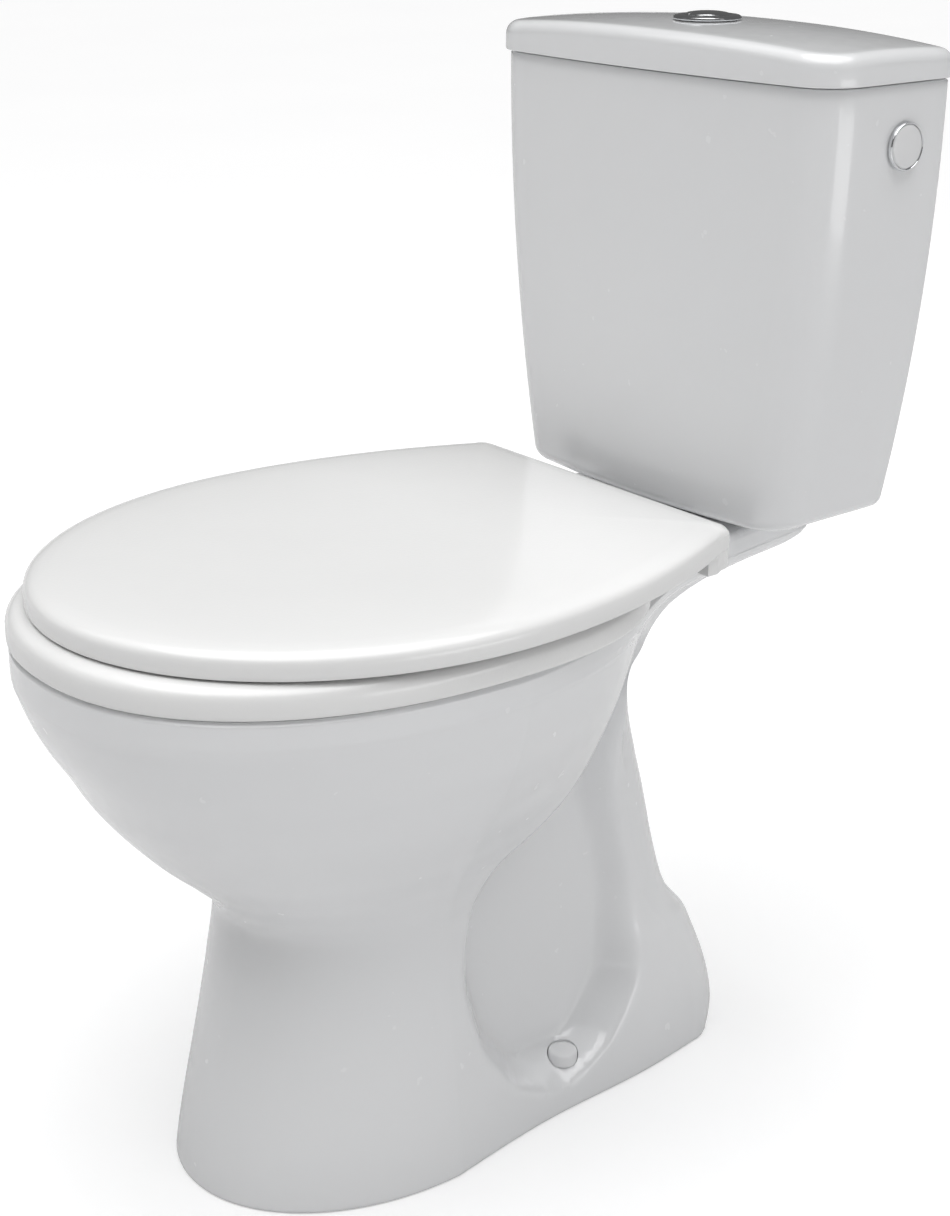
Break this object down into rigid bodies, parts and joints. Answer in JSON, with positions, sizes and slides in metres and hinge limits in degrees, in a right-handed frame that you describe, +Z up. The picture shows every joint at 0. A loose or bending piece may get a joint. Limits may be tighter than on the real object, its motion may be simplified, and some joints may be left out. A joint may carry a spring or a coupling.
{
  "type": "close coupled toilet",
  "caption": "Close coupled floor-standing toilet: china pan with waisted foot and floor outlet, china cistern with lift-off lid and split push button, hinged seat ring and cover.",
  "frame": {"origin": "on the floor under the middle of the whole toilet, halfway between the cistern's back face and the front of the seat", "axes": "+Z up, +X to the right as seen from in front with the blanking plug side at +X, +Y towards the wall"},
  "size_m": [0.3765, 0.6068, 0.761],
  "materials": {
    "china": "glossy white vitreous china glaze",
    "seat_plastic": "glossy white moulded plastic",
    "chrome_plate": "bright chrome plate",
    "white_plastic": "white moulded plastic",
    "cap_plastic": "glossy white plastic to match the china",
    "blue_plastic": "blue moulded plastic",
    "grey_plastic": "grey soft plastic",
    "buffer_plastic": "soft off-white plastic",
    "black_rubber": "black rubber",
    "brass": "plain turned brass",
    "zinc_steel": "bright zinc plated steel"
  },
  "bodies": {
    "fixed_parts": {"pan": "china", "cistern": "china", "flush_valve_base": "white_plastic", "flush_valve_cage": "white_plastic", "valve_back_nut": "white_plastic", "doughnut_seal": "black_rubber", "blanking_plug": "cap_plastic", "blanking_plug_ring": "chrome_plate", "blanking_plug_nut": "white_plastic", "blanking_plug_washer": "black_rubber", "fill_valve_body": "white_plastic", "fill_valve_washer": "black_rubber", "fill_valve_locknut": "brass", "fill_outlet_tube": "grey_plastic", "cistern_bolt_left": "zinc_steel", "cistern_bolt_right": "zinc_steel", "bolt_rubber_washer_left": "black_rubber", "bolt_rubber_washer_right": "black_rubber", "bolt_washer_left": "zinc_steel", "bolt_washer_right": "zinc_steel", "bolt_nut_left": "white_plastic", "bolt_nut_right": "white_plastic", "hinge_post_left": "seat_plastic", "hinge_post_right": "seat_plastic", "hinge_pin_left": "zinc_steel", "hinge_pin_right": "zinc_steel", "hinge_sleeve_left": "black_rubber", "hinge_sleeve_right": "black_rubber", "floor_bush_left": "white_plastic", "floor_bush_right": "white_plastic", "floor_screw_left": "zinc_steel", "floor_screw_right": "zinc_steel", "floor_cap_left": "cap_plastic", "floor_cap_right": "cap_plastic"},
    "lid": {"cistern_lid": "china", "button_bezel": "chrome_plate", "bezel_nut": "white_plastic"},
    "button_full": {"flush_button_full": "chrome_plate", "push_rod_full": "white_plastic"},
    "button_half": {"flush_button_half": "chrome_plate", "push_rod_half": "white_plastic"},
    "rocker_arm_full": {"rocker_full": "blue_plastic"},
    "rocker_arm_half": {"rocker_half": "blue_plastic"},
    "valve_lift": {"overflow_tube": "blue_plastic", "valve_seal": "black_rubber", "valve_float": "blue_plastic"},
    "float_lever": {"float_arm": "white_plastic", "fill_float": "blue_plastic"},
    "ring": {"seat_ring": "seat_plastic", "seat_buffer_front_left": "buffer_plastic", "seat_buffer_front_right": "buffer_plastic", "seat_buffer_back_left": "buffer_plastic", "seat_buffer_back_right": "buffer_plastic"},
    "cover": {"seat_cover": "seat_plastic", "cover_buffer_left": "buffer_plastic", "cover_buffer_right": "buffer_plastic"}
  },
  "joints": [
    {"name": "seat_ring_hinge", "type": "hinge", "parent": "fixed_parts", "child": "ring", "pos_m": [0, 0.1355, 0.418], "axis": [-1, 0, 0], "range_deg": [0, 91]},
    {"name": "seat_cover_hinge", "type": "hinge", "parent": "ring", "child": "cover", "pos_m": [0, 0.1355, 0.418], "axis": [1, 0, 0], "range_deg": [-92, 0]},
    {"name": "lid_lift", "type": "slide", "parent": "fixed_parts", "child": "lid", "axis": [0, 0, 1], "range_m": [0, 0.25]},
    {"name": "full_flush_press", "type": "slide", "parent": "lid", "child": "button_full", "axis": [0, 0, -1], "range_m": [0, 0.008], "stiffness_N_per_m": 400, "springref_m": -0.003},
    {"name": "half_flush_press", "type": "slide", "parent": "lid", "child": "button_half", "axis": [0, 0, -1], "range_m": [0, 0.008], "stiffness_N_per_m": 400, "springref_m": -0.003},
    {"name": "full_rocker_tilt", "type": "hinge", "parent": "fixed_parts", "child": "rocker_arm_full", "pos_m": [0.03, 0.2395, 0.676], "axis": [0, -1, 0], "range_deg": [0, 23.5]},
    {"name": "half_rocker_tilt", "type": "hinge", "parent": "fixed_parts", "child": "rocker_arm_half", "pos_m": [-0.03, 0.2395, 0.676], "axis": [0, 1, 0], "range_deg": [0, 23.5]},
    {"name": "flush_valve_rise", "type": "slide", "parent": "fixed_parts", "child": "valve_lift", "axis": [0, 0, 1], "range_m": [0, 0.0085]},
    {"name": "float_lever_hinge", "type": "hinge", "parent": "fixed_parts", "child": "float_lever", "pos_m": [-0.113, 0.2585, 0.69], "axis": [0, 1, 0], "range_deg": [0, 15]}
  ],
  "couplings": [
    {"joint": "full_rocker_tilt", "follows": "full_flush_press", "rad_per_m": 50},
    {"joint": "flush_valve_rise", "follows": "full_flush_press", "ratio": 1},
    {"joint": "half_rocker_tilt", "follows": "half_flush_press", "rad_per_m": 50}
  ]
}
